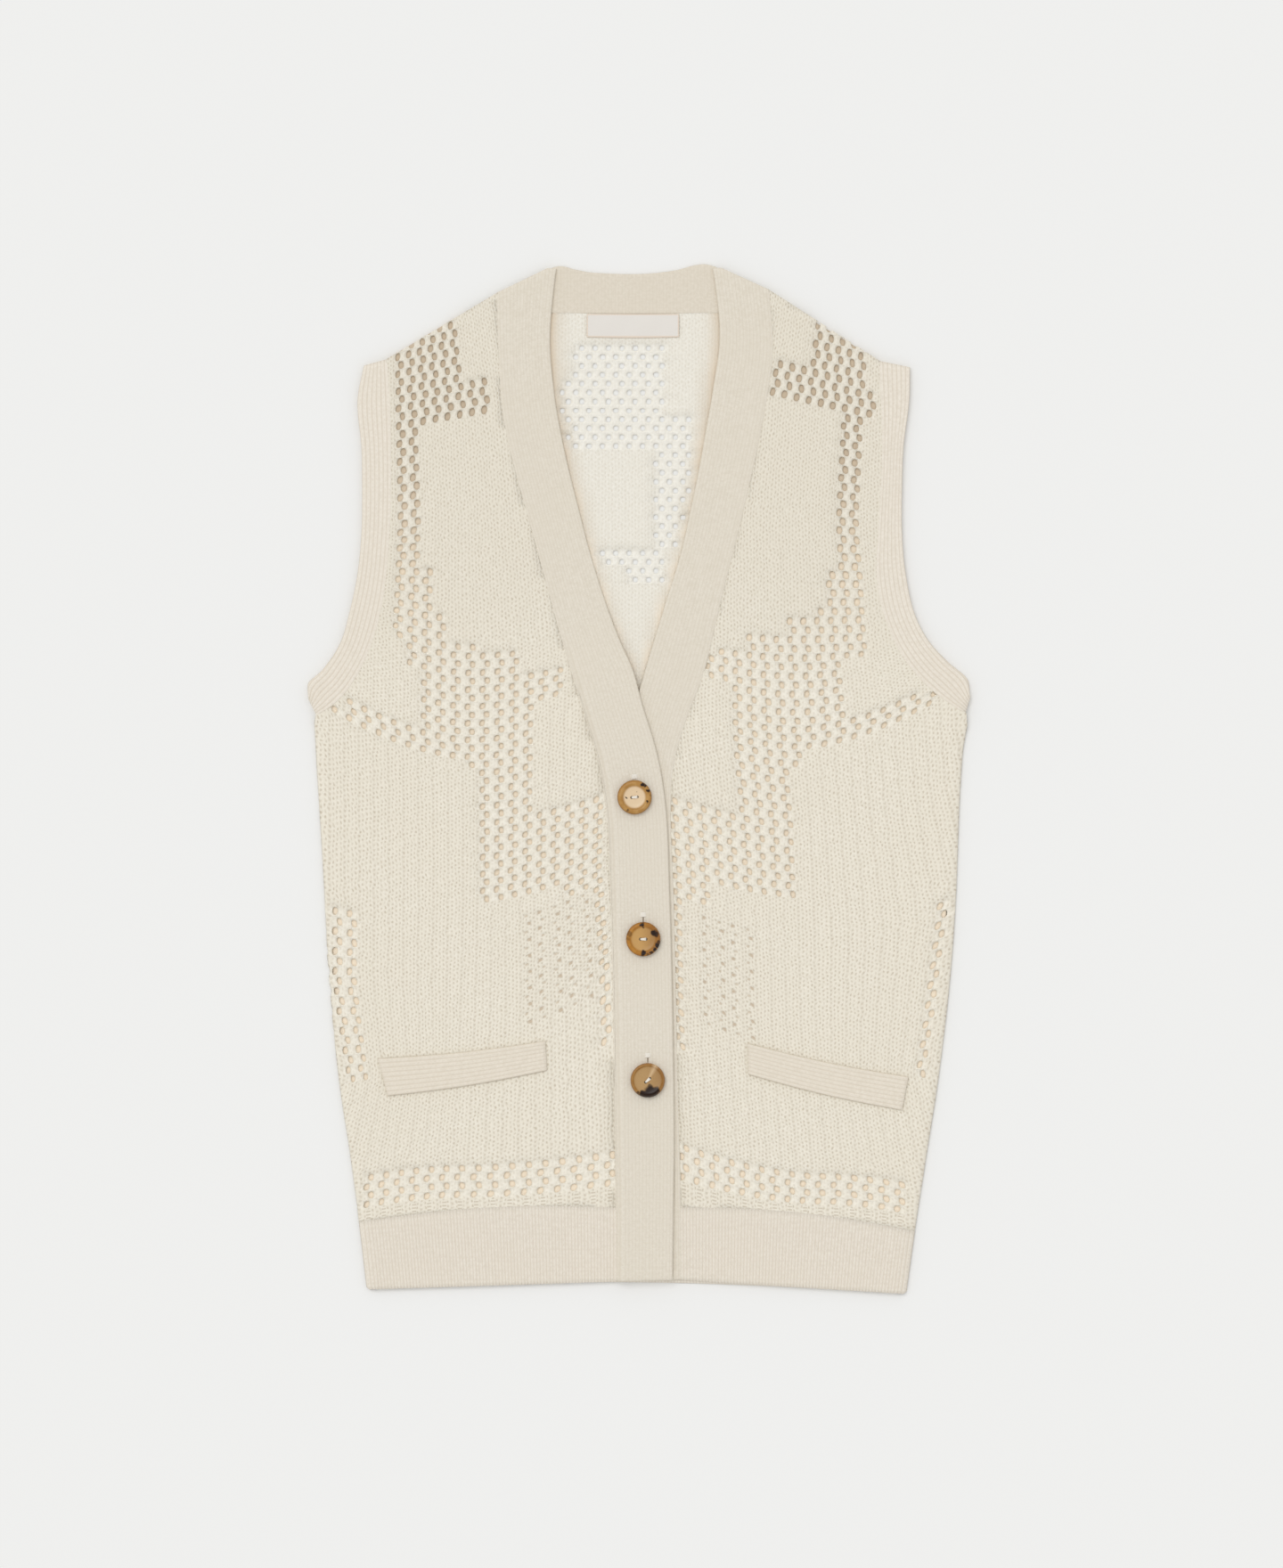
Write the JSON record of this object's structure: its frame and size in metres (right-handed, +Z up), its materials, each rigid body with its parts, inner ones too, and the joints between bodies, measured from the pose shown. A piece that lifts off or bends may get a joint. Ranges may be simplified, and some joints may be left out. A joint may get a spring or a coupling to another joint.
{
  "type": "cashmere sweater vest",
  "caption": "Sleeveless buttoned V-neck sweater vest laid flat, knitted in plain and openwork bands with ribbed hem, armholes, wide front band and two pocket welts",
  "frame": {"origin": "the middle of the bounding box's underside, on the table that the vest lies on", "axes": "+X to the wearer's left (the right of the picture), +Y from the hem to the neck, +Z up from the table, through the back to the fronts"},
  "size_m": [0.416, 0.6468, 0.012],
  "materials": {
    "body_knit": "soft matte cashmere knit, cream",
    "rib_knit": "soft matte fine rib knit, a little darker cream",
    "button_horn": "polished mottled amber and dark brown, like horn",
    "label_tape": "smooth woven tape, pale"
  },
  "bodies": {
    "root": {"back": "body_knit", "front_right": "body_knit", "front_left": "body_knit", "hem_rib_back": "rib_knit", "hem_rib_right": "rib_knit", "hem_rib_left": "rib_knit", "front_band_right": "rib_knit", "front_band_left": "rib_knit", "neckband_back": "rib_knit", "armband_right_front": "rib_knit", "armband_right_back": "rib_knit", "armband_left_front": "rib_knit", "armband_left_back": "rib_knit", "pocket_welt_right": "rib_knit", "pocket_welt_left": "rib_knit", "button_1": "button_horn", "button_2": "button_horn", "button_3": "button_horn", "neck_label": "label_tape"}
  },
  "joints": []
}
